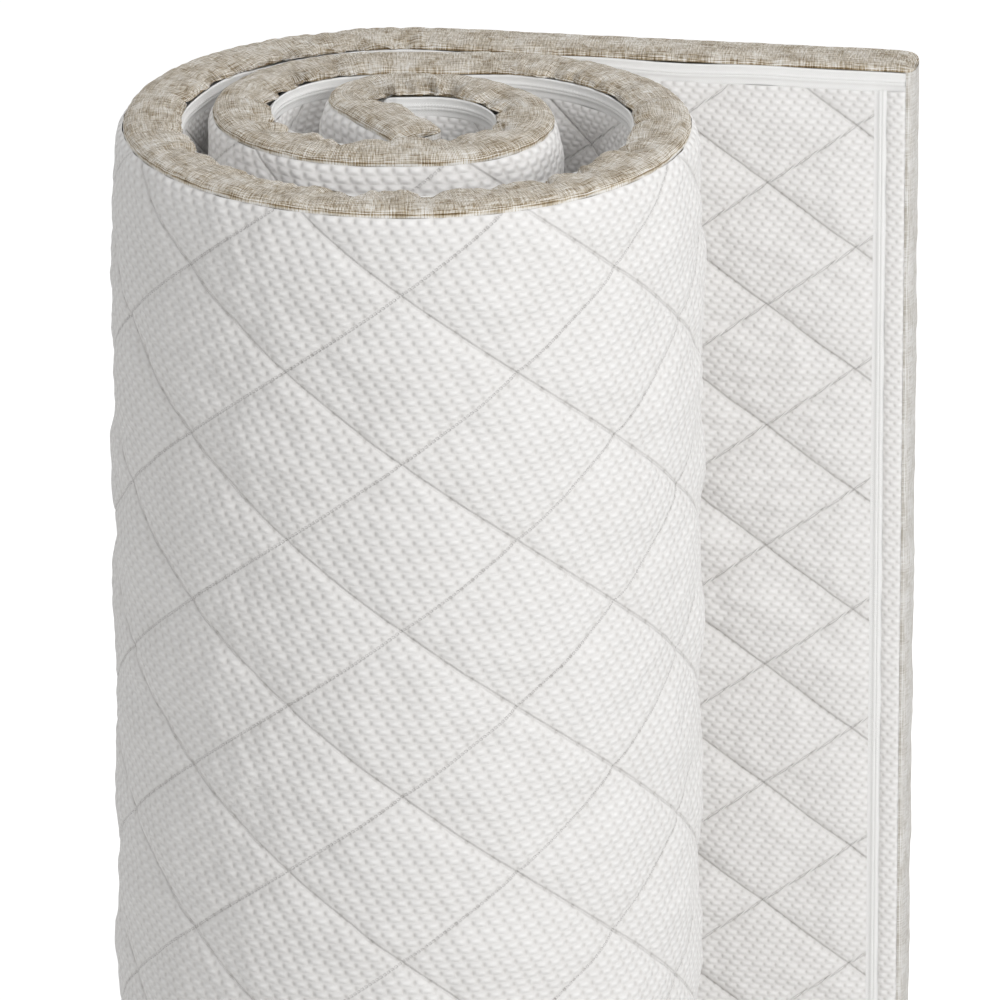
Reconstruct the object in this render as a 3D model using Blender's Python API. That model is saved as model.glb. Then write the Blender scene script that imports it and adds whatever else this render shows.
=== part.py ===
"""Pressure relief mattress: a foam topper in a zipped, quilted cover, loosely rolled and stood on one long edge.

The pad follows one route in plan: a straight loose end, the outer turn, the inner turn and a folded
inner end. The route is a chain of arcs and straights that meet on their tangents, and every layer of the
pad is swept along it. Lengths are in metres, +Z is up, and -Y is the side that the loose end's zip faces.
The origin is on the ground under the middle of the whole roll.
"""

import math

import bmesh
import bpy
from mathutils import Matrix, Vector

# Overall sizes
MATTRESS_WIDTH = 0.900  # across the bed, so it is the height of the standing roll
LOOSE_END = 0.310  # length of pad that lies off the roll

# Layers of the pad
FOAM_THICKNESS = 0.031
PANEL_THICKNESS = 0.0042
FIT = 0.0003  # gap between pieces that touch

# How the pad is rolled
TURN_GAP = 0.003  # between turns that lie on each other
INNER_HOLLOW = 0.047  # radius of the space inside the inner turn
FOLD_HOLLOW = 0.005  # radius of the space inside the folded end
FRONT_SLACK = 0.060  # open space between the outer and the inner turn, at the front
BACK_RUN = 0.069  # straight stretch at the back of the inner turn
FRONT_RUN = 0.027  # straight stretch at the front of the inner turn
FOLD_RUN = 0.016  # straight stretch before the fold
FOLD_TURN = math.radians(120)
LOOSE_SLOPE = math.radians(9)  # the loose end comes forward by this angle
ARC_STEP = math.radians(12)  # of arc between two stations of the sweep

# Border band and its crown
BORDER_HEIGHT = 0.014
CROWN_DROP = 0.006  # the crown's shoulders lie this far under its top
CROWN_SHOULDER = 0.009  # width of each sloping shoulder

# Zip, between the border and the inner panel
ZIP_WIDTH = 0.014
COIL_WIDTH = 0.005
COIL_HEIGHT = 0.0015

# Zip slider and puller, parked on the zip of the loose end
SLIDER_HEIGHT_Z = 0.200
SLIDER_LENGTH = 0.012
SLIDER_WIDTH = 0.0094
SLIDER_ROOF = 0.0016
LUG_WIDTH = 0.0012
LUG_LENGTH = 0.0034
LUG_RISE = 0.0032
PIN_RADIUS = 0.0006
PIN_CLEARANCE = 0.0003
EYE_WALL = 0.0008
EYE_WIDTH = 0.0036
PULLER_LENGTH = 0.027
PULLER_WIDTH = 0.0070
PULLER_THICKNESS = 0.0014
ROUND_SIDES = 16

# Derived sizes
PAD = FOAM_THICKNESS + 2 * (PANEL_THICKNESS + FIT)
HALF_PAD = PAD / 2
HALF_FOAM = FOAM_THICKNESS / 2
PITCH = PAD + TURN_GAP
COVER_LOW = BORDER_HEIGHT + FIT
COVER_HIGH = MATTRESS_WIDTH - COVER_LOW
PANEL_LOW = COVER_LOW + ZIP_WIDTH + FIT
PANEL_HIGH = MATTRESS_WIDTH - PANEL_LOW
EYE_RADIUS = PIN_RADIUS + PIN_CLEARANCE + EYE_WALL


def clear_scene():
    """Removes every object that the new file came with."""
    for thing in list(bpy.data.objects):
        bpy.data.objects.remove(thing)


def material(name, colour, roughness, metallic=0.0):
    """A Principled material."""
    made = bpy.data.materials.new(name)
    made.use_nodes = True
    shader = made.node_tree.nodes["Principled BSDF"]
    shader.inputs["Base Color"].default_value = (*colour, 1.0)
    shader.inputs["Roughness"].default_value = roughness
    shader.inputs["Metallic"].default_value = metallic
    made.diffuse_color = (*colour, 1.0)
    return made


def finish_object(name, bm, look):
    """Turns a bmesh into a named object with its own material."""
    bmesh.ops.recalc_face_normals(bm, faces=bm.faces)
    mesh = bpy.data.meshes.new(name)
    bm.to_mesh(mesh)
    bm.free()
    mesh.materials.append(look)
    made = bpy.data.objects.new(name, mesh)
    bpy.context.scene.collection.objects.link(made)
    return made


# ---------------------------------------------------------------- the route


class Route:
    """The pad's middle line in plan, from the loose end (length 0) to the folded inner end."""

    def __init__(self):
        inner = INNER_HOLLOW + HALF_PAD
        middle = inner + PITCH / 2
        fold = FOLD_HOLLOW + HALF_PAD
        both_outer = 2 * middle + PAD + FRONT_SLACK
        step_in = PITCH / (1 - math.sin(LOOSE_SLOPE))
        outer = (both_outer + step_in) / 2
        back = outer - step_in
        fall = math.sin(math.pi - FOLD_TURN)
        seat = HALF_PAD + TURN_GAP + HALF_PAD * abs(math.cos(FOLD_TURN))
        end_run = (2 * inner - fold * (1 - math.cos(FOLD_TURN)) - seat) / fall
        quarter = math.pi / 2
        # each stretch is its length, and its turn to the left: an arc where there is one
        self.stretches = [
            (LOOSE_END, 0.0),
            (outer * (3 * quarter + LOOSE_SLOPE), 3 * quarter + LOOSE_SLOPE),
            (back * quarter, quarter),
            (BACK_RUN, 0.0),
            (middle * math.pi, math.pi),
            (FRONT_RUN, 0.0),
            (inner * math.pi, math.pi),
            (FOLD_RUN, 0.0),
            (fold * FOLD_TURN, FOLD_TURN),
            (end_run, 0.0),
        ]
        self.length = sum(length for length, _ in self.stretches)
        self.shift = Vector((0.0, 0.0))
        corners = [self.at(s, n) for s in self.stations(0.0, self.length) for n in (-HALF_PAD, HALF_PAD)]
        low = Vector((min(c.x for c in corners), min(c.y for c in corners)))
        high = Vector((max(c.x for c in corners), max(c.y for c in corners)))
        self.shift = -(low + high) / 2

    def pose(self, s):
        """The point and the heading at length s."""
        point = Vector((0.0, 0.0))
        heading = math.pi - LOOSE_SLOPE
        for length, turn in self.stretches:
            run = min(s, length)
            along = turn * run / length
            if turn:
                radius = length / turn
                point += radius * Vector((
                    math.sin(heading + along) - math.sin(heading),
                    math.cos(heading) - math.cos(heading + along),
                ))
            else:
                point += run * Vector((math.cos(heading), math.sin(heading)))
            heading += along
            s -= run
            if s <= 0:
                break
        return point, heading

    def at(self, s, n):
        """The plan point at length s, moved by n towards the pad's inner face."""
        point, heading = self.pose(s)
        return point + n * Vector((-math.sin(heading), math.cos(heading))) + self.shift

    def stations(self, start, end):
        """Lengths from start to end, with one at every step of each arc."""
        found = [start]
        begin = 0.0
        for length, turn in self.stretches:
            steps = max(1, round(turn / ARC_STEP))
            for i in range(1, steps + 1):
                s = begin + length * i / steps
                if start + FIT < s < end - FIT:
                    found.append(s)
            begin += length
        return found + [end]


def sweep(name, route, start, end, profile, look):
    """Sweeps a closed profile of (towards the inner face, up) points along the route, and caps both ends."""
    bm = bmesh.new()
    rings = []
    for s in route.stations(start, end):
        places = [(route.at(s, n), z) for n, z in profile]
        rings.append([bm.verts.new((place.x, place.y, z)) for place, z in places])
    count = len(profile)
    for ring, following in zip(rings, rings[1:]):
        for i in range(count):
            j = (i + 1) % count
            bm.faces.new((ring[i], ring[j], following[j], following[i]))
    bm.faces.new(rings[0])
    bm.faces.new(rings[-1])
    return finish_object(name, bm, look)


def slab(n_low, n_high, z_low, z_high):
    """A rectangular profile."""
    return [(n_low, z_low), (n_high, z_low), (n_high, z_high), (n_low, z_high)]


def crown(base, tip):
    """The border's profile: flat on the pad at base, and crowned towards tip."""
    away = 1 if tip > base else -1
    shoulder = tip - away * CROWN_DROP
    flat = HALF_PAD - CROWN_SHOULDER
    return [
        (-HALF_PAD, base),
        (HALF_PAD, base),
        (HALF_PAD, shoulder),
        (flat, tip),
        (-flat, tip),
        (-HALF_PAD, shoulder),
    ]


def zip_profile(low, high):
    """A tape, flush with the panels less its coil, with the coil as a ridge along its middle."""
    tape_back = HALF_FOAM + FIT
    tape_face = HALF_PAD - COIL_HEIGHT
    middle = (low + high) / 2
    return [
        (tape_back, low),
        (tape_face, low),
        (tape_face, middle - COIL_WIDTH / 2),
        (HALF_PAD, middle - COIL_WIDTH / 2),
        (HALF_PAD, middle + COIL_WIDTH / 2),
        (tape_face, middle + COIL_WIDTH / 2),
        (tape_face, high),
        (tape_back, high),
    ]


def end_zip(name, route, start, look):
    """The upright zip beside an end border: start is the length at its lower-numbered edge."""
    tape_back = HALF_FOAM + FIT
    tape_face = HALF_PAD - COIL_HEIGHT
    coil_start = start + (ZIP_WIDTH - COIL_WIDTH) / 2
    outline = [
        (start, tape_back),
        (start, tape_face),
        (coil_start, tape_face),
        (coil_start, HALF_PAD),
        (coil_start + COIL_WIDTH, HALF_PAD),
        (coil_start + COIL_WIDTH, tape_face),
        (start + ZIP_WIDTH, tape_face),
        (start + ZIP_WIDTH, tape_back),
    ]
    return upright(name, [route.at(s, n) for s, n in outline], PANEL_LOW, PANEL_HIGH, look)


def upright(name, outline, low, high, look):
    """Extrudes a plan outline from one height to another."""
    bm = bmesh.new()
    base = bm.faces.new([bm.verts.new((p.x, p.y, low)) for p in outline])
    raised = bmesh.ops.extrude_face_region(bm, geom=[base])["geom"]
    tops = [v for v in raised if isinstance(v, bmesh.types.BMVert)]
    bmesh.ops.translate(bm, verts=tops, vec=(0, 0, high - low))
    return finish_object(name, bm, look)


def end_border(name, route, start, look, nose_first):
    """The border on a short end, crowned lengthwise, between the top and the bottom border."""
    flat = HALF_PAD - CROWN_SHOULDER
    nose, base = (start, start + BORDER_HEIGHT) if nose_first else (start + BORDER_HEIGHT, start)
    shoulder = nose + (CROWN_DROP if nose_first else -CROWN_DROP)
    outline = [
        (base, -HALF_PAD),
        (base, HALF_PAD),
        (shoulder, HALF_PAD),
        (nose, flat),
        (nose, -flat),
        (shoulder, -HALF_PAD),
    ]
    return upright(name, [route.at(s, n) for s, n in outline], COVER_LOW, COVER_HIGH, look)


# ---------------------------------------------------------------- the pad's layers


def build_pad(route, looks):
    """The foam, the panels, the border and the zip of the rolled length and of the loose end."""
    half_fit = FIT / 2
    spans = {
        "loose": (0.0, LOOSE_END - half_fit),
        "roll": (LOOSE_END + half_fit, route.length),
    }
    for part, (start, end) in spans.items():
        inset = BORDER_HEIGHT + FIT
        zip_inset = inset + ZIP_WIDTH + FIT
        if part == "loose":
            cover, panel = (start + inset, end), (start + zip_inset, end)
        else:
            cover, panel = (start, end - inset), (start, end - zip_inset)
        sweep(f"{part}_foam_core", route, *cover, slab(-HALF_FOAM, HALF_FOAM, COVER_LOW, COVER_HIGH),
              looks["foam"])
        sweep(f"{part}_outer_panel", route, *cover,
              slab(-HALF_PAD, -HALF_FOAM - FIT, COVER_LOW, COVER_HIGH), looks["panel"])
        sweep(f"{part}_inner_panel", route, *panel,
              slab(HALF_FOAM + FIT, HALF_PAD, PANEL_LOW, PANEL_HIGH), looks["panel"])
        sweep(f"{part}_top_border", route, start, end,
              crown(MATTRESS_WIDTH - BORDER_HEIGHT, MATTRESS_WIDTH), looks["border"])
        sweep(f"{part}_bottom_border", route, start, end, crown(BORDER_HEIGHT, 0.0), looks["border"])
        sweep(f"{part}_top_zip", route, *cover, zip_profile(COVER_HIGH - ZIP_WIDTH, COVER_HIGH),
              looks["zip"])
        sweep(f"{part}_bottom_zip", route, *cover, zip_profile(COVER_LOW, COVER_LOW + ZIP_WIDTH),
              looks["zip"])
    end_border("loose_end_border", route, 0.0, looks["border"], nose_first=True)
    end_border("roll_end_border", route, route.length - BORDER_HEIGHT, looks["border"], nose_first=False)
    end_zip("loose_end_zip", route, BORDER_HEIGHT + FIT, looks["zip"])
    end_zip("roll_end_zip", route, route.length - BORDER_HEIGHT - FIT - ZIP_WIDTH, looks["zip"])


# ---------------------------------------------------------------- zip slider and puller


def tape_frame(route):
    """A frame on the loose end's zip: X along the pad to its end, Y out of the tape, Z up."""
    s = BORDER_HEIGHT + FIT + ZIP_WIDTH / 2
    _, heading = route.pose(s)
    origin = route.at(s, HALF_PAD - COIL_HEIGHT)
    along = -Vector((math.cos(heading), math.sin(heading), 0.0))
    out = Vector((-math.sin(heading), math.cos(heading), 0.0))
    axes = Matrix((along, out, Vector((0.0, 0.0, 1.0)))).transposed().to_4x4()
    return Matrix.Translation((origin.x, origin.y, SLIDER_HEIGHT_Z)) @ axes


def add_prism(bm, outline, low, high):
    """Adds a prism whose outline lies in X and Y, between two heights."""
    base = bm.faces.new([bm.verts.new((x, y, low)) for x, y in outline])
    raised = bmesh.ops.extrude_face_region(bm, geom=[base])["geom"]
    tops = [v for v in raised if isinstance(v, bmesh.types.BMVert)]
    bmesh.ops.translate(bm, verts=tops, vec=(0, 0, high - low))


def add_box(bm, low, high):
    """Adds a box between two corners."""
    add_prism(bm, [(low[0], low[1]), (high[0], low[1]), (high[0], high[1]), (low[0], high[1])],
              low[2], high[2])


def add_rod(bm, radius, length, centre):
    """Adds a round rod along X."""
    turn = Matrix.Translation(centre) @ Matrix.Rotation(math.pi / 2, 4, "Y")
    bmesh.ops.create_cone(bm, cap_ends=True, segments=ROUND_SIDES, radius1=radius, radius2=radius,
                          depth=length, matrix=turn)


def combine(made, other, operation):
    """Adds an EXACT Boolean with a hidden guide object."""
    other.hide_render = True
    other.display_type = "WIRE"
    other.parent = made
    change = made.modifiers.new(operation.lower(), "BOOLEAN")
    change.operation = operation
    change.object = other
    change.solver = "EXACT"


def build_slider(route, look):
    """The slider: a roof and two skirts round the coil, and two lugs that hold the puller's pin."""
    frame = tape_frame(route)
    half_width = SLIDER_WIDTH / 2
    half_length = SLIDER_LENGTH / 2
    channel = COIL_WIDTH / 2 + FIT
    roof_low = COIL_HEIGHT + FIT
    roof_high = roof_low + SLIDER_ROOF
    bm = bmesh.new()
    outline = [
        (-half_width, FIT),
        (-channel, FIT),
        (-channel, roof_low),
        (channel, roof_low),
        (channel, FIT),
        (half_width, FIT),
        (half_width, roof_high),
        (-half_width, roof_high),
    ]
    add_prism(bm, outline, -half_length, half_length)
    slider = finish_object("zip_slider", bm, look)

    pin_out = pin_height()
    lug_gap = EYE_WIDTH / 2 + PIN_CLEARANCE
    lugs = bmesh.new()
    sunk = roof_high - SLIDER_ROOF / 2
    for side in (-1, 1):
        near, far = sorted((side * lug_gap, side * (lug_gap + LUG_WIDTH)))
        add_box(lugs, (near, sunk, -LUG_LENGTH / 2), (far, roof_high + LUG_RISE, LUG_LENGTH / 2))
    lug_pair = finish_object("slider_lugs_guide", lugs, look)
    pin = bmesh.new()
    add_rod(pin, PIN_RADIUS, 2 * lug_gap + LUG_WIDTH, (0.0, pin_out, 0.0))
    pin_guide = finish_object("slider_pin_guide", pin, look)
    combine(slider, lug_pair, "UNION")
    combine(slider, pin_guide, "UNION")
    slider.matrix_world = frame
    return slider


def pin_height():
    """How far the puller's pin lies out of the tape."""
    return COIL_HEIGHT + FIT + SLIDER_ROOF + PIN_CLEARANCE + EYE_RADIUS


def build_puller(route, look):
    """The puller: an eye on the slider's pin and a flat tab that hangs from it. Its origin is on the pin."""
    bm = bmesh.new()
    tab_top = -EYE_RADIUS - PIN_CLEARANCE
    half_tab = PULLER_THICKNESS / 2
    half_width = PULLER_WIDTH / 2
    neck = EYE_WIDTH / 2
    shoulder = tab_top - SLIDER_LENGTH / 4
    outline = [
        (-neck, 0.0),
        (-neck, tab_top),
        (-half_width, shoulder),
        (-half_width, -PULLER_LENGTH + half_width / 2),
        (-half_width / 2, -PULLER_LENGTH),
        (half_width / 2, -PULLER_LENGTH),
        (half_width, -PULLER_LENGTH + half_width / 2),
        (half_width, shoulder),
        (neck, tab_top),
        (neck, 0.0),
    ]
    face = bm.faces.new([bm.verts.new((x, -half_tab, z)) for x, z in outline])
    raised = bmesh.ops.extrude_face_region(bm, geom=[face])["geom"]
    tops = [v for v in raised if isinstance(v, bmesh.types.BMVert)]
    bmesh.ops.translate(bm, verts=tops, vec=(0, PULLER_THICKNESS, 0))
    puller = finish_object("zip_puller", bm, look)

    eye = bmesh.new()
    add_rod(eye, EYE_RADIUS, EYE_WIDTH, (0.0, 0.0, 0.0))
    eye_guide = finish_object("puller_eye_guide", eye, look)
    hole = bmesh.new()
    add_rod(hole, PIN_RADIUS + PIN_CLEARANCE, 2 * EYE_WIDTH, (0.0, 0.0, 0.0))
    hole_guide = finish_object("puller_hole_guide", hole, look)
    combine(puller, eye_guide, "UNION")
    combine(puller, hole_guide, "DIFFERENCE")
    puller.matrix_world = tape_frame(route) @ Matrix.Translation((0.0, pin_height(), 0.0))
    return puller


def build_looks():
    """The finishes, in linear colour."""
    return {
        "foam": material("viscoelastic_foam", (0.86, 0.80, 0.66), 0.95),
        "panel": material("white_quilted_knit", (0.80, 0.80, 0.79), 0.90),
        "border": material("beige_melange_weave", (0.50, 0.45, 0.37), 0.92),
        "zip": material("white_zip_tape", (0.84, 0.84, 0.83), 0.60),
        "slider": material("white_lacquered_zinc", (0.78, 0.78, 0.78), 0.35),
    }


def main():
    """Builds every piece of the mattress."""
    clear_scene()
    looks = build_looks()
    route = Route()
    build_pad(route, looks)
    build_slider(route, looks["slider"])
    build_puller(route, looks["slider"])


if __name__ == "__main__":
    main()
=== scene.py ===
"""Pressure relief mattress, loosely rolled and stood on one long edge: the fabrics, wadding and zip on its frame.

The pad follows one route in plan, from the loose end (length 0) through two turns to the folded inner end.
Each layer is a grid of points laid along that route, so a place on a fabric is always a length along the
pad and a place across it, as it was when the cover lay flat on the cutting table.
"""

import logging
import math
from dataclasses import dataclass, field
from enum import Enum

import bpy
import numpy as np
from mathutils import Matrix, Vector


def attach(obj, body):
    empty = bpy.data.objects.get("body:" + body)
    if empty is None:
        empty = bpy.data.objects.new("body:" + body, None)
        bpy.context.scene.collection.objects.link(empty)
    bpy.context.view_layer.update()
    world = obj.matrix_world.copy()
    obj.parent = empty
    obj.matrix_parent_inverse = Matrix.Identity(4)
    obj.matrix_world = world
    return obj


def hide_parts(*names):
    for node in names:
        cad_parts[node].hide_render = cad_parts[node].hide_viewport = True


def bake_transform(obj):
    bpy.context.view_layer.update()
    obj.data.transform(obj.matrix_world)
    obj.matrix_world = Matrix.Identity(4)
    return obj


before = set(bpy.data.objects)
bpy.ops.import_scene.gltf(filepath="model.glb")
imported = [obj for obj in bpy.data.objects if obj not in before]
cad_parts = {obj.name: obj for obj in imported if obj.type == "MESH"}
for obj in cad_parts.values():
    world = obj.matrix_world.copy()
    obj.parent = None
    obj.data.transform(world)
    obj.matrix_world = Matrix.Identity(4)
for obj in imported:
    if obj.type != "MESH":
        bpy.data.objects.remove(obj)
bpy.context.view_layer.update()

LOG = logging.getLogger("mattress")
MM = 0.001
TAU = 2 * math.pi


# ---------------------------------------------------------------- the pad's plan


@dataclass(frozen=True)
class PadSizes:
    """The sizes that the pad's layers share, in metres and radians."""

    width: float = 0.900
    foam: float = 0.031
    panel: float = 0.0042
    fit: float = 0.0003
    border: float = 0.014
    zip_width: float = 0.014
    outer_seam: float = 0.0110  # the long bands' seams lie this far in from the pad's long edges
    inner_seam: float = 0.0092
    end_seam: float = 0.0058  # and the upright bands' from its short ends
    loose_end: float = 0.310
    turn_gap: float = 0.003
    inner_hollow: float = 0.047
    fold_hollow: float = 0.005
    front_slack: float = 0.060
    back_run: float = 0.069
    front_run: float = 0.027
    fold_run: float = 0.016
    fold_turn: float = math.radians(120)
    loose_slope: float = math.radians(9)
    arc_step: float = math.radians(12)

    @property
    def half(self) -> float:
        """Half of the pad's thickness."""
        return self.foam / 2 + self.panel + self.fit


class Side(Enum):
    """The two faces of the pad. The value is the way that the face looks, across the pad."""

    OUTER = -1
    INNER = 1


class Edge(Enum):
    """The two long edges of the pad. The value starts the names of their pieces."""

    TOP = "top"
    BOTTOM = "bottom"


class End(Enum):
    """The two short ends of the pad. The value is the word that starts their pieces' names, and their body."""

    LOOSE = ("loose", "loose_end")
    ROLLED = ("roll", "roll")


class Route:
    """The pad's middle line in plan."""

    def __init__(self, pad: PadSizes) -> None:
        """Works the stretches out from the pad's thickness and gaps, and centres the roll.

        Args:
            pad: the pad's sizes.
        """
        self.pad = pad
        half, pitch, quarter = pad.half, 2 * pad.half + pad.turn_gap, math.pi / 2
        inner = pad.inner_hollow + half
        middle = inner + pitch / 2
        fold = pad.fold_hollow + half
        both_outer = 2 * middle + 2 * half + pad.front_slack
        step_in = pitch / (1 - math.sin(pad.loose_slope))
        outer = (both_outer + step_in) / 2
        fall = math.sin(math.pi - pad.fold_turn)
        seat = half + pad.turn_gap + half * abs(math.cos(pad.fold_turn))
        first_turn = 3 * quarter + pad.loose_slope
        stretches = [
            (pad.loose_end, 0.0),
            (outer * first_turn, first_turn),
            ((outer - step_in) * quarter, quarter),
            (pad.back_run, 0.0),
            (middle * math.pi, math.pi),
            (pad.front_run, 0.0),
            (inner * math.pi, math.pi),
            (pad.fold_run, 0.0),
            (fold * pad.fold_turn, pad.fold_turn),
            ((2 * inner - fold * (1 - math.cos(pad.fold_turn)) - seat) / fall, 0.0),
        ]
        lengths, turns = np.array(stretches).T
        self.starts = np.concatenate([[0.0], np.cumsum(lengths)])
        self.length = float(self.starts[-1])
        self.curves = turns / lengths
        self.headings = math.pi - pad.loose_slope + np.concatenate([[0.0], np.cumsum(turns)])
        self.points = np.zeros((1, 2))
        for i, length in enumerate(lengths):
            self.points = np.vstack([self.points, self.points[i] + self._step(np.array([i]), length)])
        stations = np.concatenate([
            start + length * np.arange(steps := max(1, round(turn / pad.arc_step))) / steps
            for start, (length, turn) in zip(self.starts, stretches)
        ] + [[self.length]])
        edges = np.vstack([self.place(stations, n, 0.0)[:, :2] for n in (-half, half)])
        self.points = self.points - (edges.min(0) + edges.max(0)) / 2

    def _step(self, i: np.ndarray, run: np.ndarray) -> np.ndarray:
        """The way from the start of stretch i to a point run further on.

        Args:
            i: the stretches' numbers.
            run: the lengths along them.

        Returns:
            One plan vector for each.
        """
        heading, curve = self.headings[i], self.curves[i]
        bend = np.where(curve == 0, 1.0, curve)
        turned = heading + curve * run
        x = np.where(curve == 0, run * np.cos(heading), (np.sin(turned) - np.sin(heading)) / bend)
        y = np.where(curve == 0, run * np.sin(heading), (np.cos(heading) - np.cos(turned)) / bend)
        return np.stack([x, y], -1)

    def stretch(self, s: np.ndarray) -> np.ndarray:
        """The number of the stretch that each length lies in."""
        return np.clip(np.searchsorted(self.starts, s, side="right") - 1, 0, len(self.curves) - 1)

    def curve(self, s: np.ndarray) -> np.ndarray:
        """How sharply the route bends at each length, in radians a metre, eased over 30 mm."""
        ease = np.linspace(-0.015, 0.015, 7)
        return np.mean([self.curves[self.stretch(s + d)] for d in ease], 0)

    def place(self, s: np.ndarray, n: np.ndarray, z: np.ndarray) -> np.ndarray:
        """Points on the pad.

        Args:
            s: lengths along the route.
            n: distances from the middle line, towards the inner face.
            z: heights.

        Returns:
            An array of points whose last axis is x, y, z.
        """
        s, n, z = np.broadcast_arrays(s, n, z)
        i = self.stretch(s)
        run = s - self.starts[i]
        heading = self.headings[i] + self.curves[i] * run
        plan = self.points[i] + self._step(i, run)
        return np.stack([plan[..., 0] - n * np.sin(heading), plan[..., 1] + n * np.cos(heading), z], -1)

    def room(self, s: np.ndarray, side: Side) -> np.ndarray:
        """How far each point of a face is from the next turn of the pad.

        Args:
            s: lengths along the route.
            side: the face.

        Returns:
            The free distance at each length, in metres.
        """
        every = np.linspace(0, self.length, 800)
        middle = self.place(every, 0.0, 0.0)[:, :2]
        face = self.place(s, side.value * self.pad.half, 0.0)[:, :2]
        gap = np.linalg.norm(face[:, None] - middle[None], axis=2) - self.pad.half
        gap[np.abs(s[:, None] - every[None]) < 0.11] = 1.0
        found = gap.min(1).clip(0, None)
        if side is Side.INNER:
            inside = 1 / self.curve(s).clip(1e-3, None) - self.pad.half
            found = np.minimum(found, inside)
        smooth = np.hanning(9)
        return np.convolve(np.pad(found, 4, mode="edge"), smooth / smooth.sum(), mode="valid")

    def face_length(self, s: np.ndarray, n: float) -> np.ndarray:
        """The length along a face n away from the middle line, from 0 to each of the lengths s."""
        every = np.linspace(0, self.length, 4001)
        steps = np.linalg.norm(np.diff(self.place(every, n, 0.0), axis=0), axis=1)
        return np.interp(s, every, np.concatenate([[0.0], np.cumsum(steps)]))


def ripple(u: np.ndarray, v: np.ndarray, seed: int, size: tuple[float, float], waves: int = 14) -> np.ndarray:
    """A soft uneven surface, as of fabric that lies a little loose.

    Args:
        u: places along the fabric, in metres.
        v: places across it.
        seed: sets which surface it is.
        size: the usual width of a ripple along u and along v.
        waves: how many waves are added up.

    Returns:
        Heights from about -1 to 1.
    """
    rng = np.random.default_rng(seed)
    total = np.zeros(np.broadcast(u, v).shape)
    for _ in range(waves):
        turn, phase, scale = rng.uniform(0, TAU), rng.uniform(0, TAU), rng.uniform(0.6, 1.6)
        total += np.cos(TAU * scale * (u * math.cos(turn) / size[0] + v * math.sin(turn) / size[1]) + phase)
    return total / math.sqrt(waves) / 1.4


def settle(points: np.ndarray, held: np.ndarray, swell: float, pressure: float, most: float,
           frames: int = 20) -> np.ndarray:
    """Lets a fabric that is cut a little too large buckle and fill out between its seams.

    Args:
        points: a grid of points, rows by columns by 3.
        held: true where the grid is sewn down.
        swell: how much too large the fabric is cut, as a share.
        pressure: how hard the wadding pushes it out.
        most: how far a point may move.
        frames: how long it moves.

    Returns:
        The settled grid.
    """
    scene = bpy.context.scene
    piece = grid_mesh("settling", points, points[..., :2], None)
    group = piece.vertex_groups.new(name="held")
    group.add(np.flatnonzero(held.ravel()).tolist(), 1.0, "REPLACE")
    cloth = piece.modifiers.new("cloth", "CLOTH")
    cloth.point_cache.frame_start, cloth.point_cache.frame_end = 1, frames
    how = cloth.settings
    how.quality = 4
    how.mass = 0.15
    how.tension_stiffness = how.compression_stiffness = 12.0
    how.shear_stiffness = 4.0
    how.bending_stiffness = 0.4
    how.vertex_group_mass = group.name
    how.shrink_min = -swell
    how.use_pressure = True
    how.uniform_pressure_force = pressure
    how.effector_weights.gravity = 0.0
    cloth.collision_settings.use_collision = False
    for number in range(1, frames + 1):
        scene.frame_set(number)
    moved = np.zeros(points.size, np.float32)
    piece.evaluated_get(bpy.context.evaluated_depsgraph_get()).to_mesh().vertices.foreach_get("co", moved)
    bpy.data.objects.remove(piece)
    scene.frame_set(1)
    step = moved.reshape(points.shape) - points
    length = np.linalg.norm(step, axis=2, keepdims=True).clip(1e-9, None)
    return points + step * np.minimum(1.0, most / length)


# ---------------------------------------------------------------- finishes


def linear(colour: str) -> tuple[float, float, float, float]:
    """The linear colour of an sRGB hex value such as "#F2F1EF"."""
    parts = [int(colour[i:i + 2], 16) / 255 for i in (1, 3, 5)]
    return (*(c / 12.92 if c <= 0.04045 else ((c + 0.055) / 1.055) ** 2.4 for c in parts), 1.0)


def add(tree: bpy.types.NodeTree, kind: str, inputs: dict | list = (), **settings: object) -> bpy.types.NodeSocket:
    """Adds a node to a material.

    Args:
        tree: the material's nodes.
        kind: the node's type, without "ShaderNode".
        inputs: a value or a link for each of its sockets, in order or by name.
        settings: its other properties.

    Returns:
        The node's first output.
    """
    made = tree.nodes.new("ShaderNode" + kind)
    for name, value in settings.items():
        setattr(made, name, value)
    for key, value in inputs.items() if isinstance(inputs, dict) else enumerate(inputs):
        if isinstance(value, bpy.types.NodeSocket):
            tree.links.new(value, made.inputs[key])
        elif value is not None:
            made.inputs[key].default_value = value
    return made.outputs[0]


def ramp(socket: bpy.types.NodeSocket, stops: list[tuple[float, str]]) -> bpy.types.NodeSocket:
    """Sets a colour ramp's stops.

    Args:
        socket: the colour ramp's output.
        stops: each stop's place and its sRGB hex colour.

    Returns:
        The same output.
    """
    elements = socket.node.color_ramp.elements
    while len(elements) < len(stops):
        elements.new(0.5)
    for element, (place, colour) in zip(elements, stops):
        element.position = place
        element.color = linear(colour)
    return socket


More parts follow.
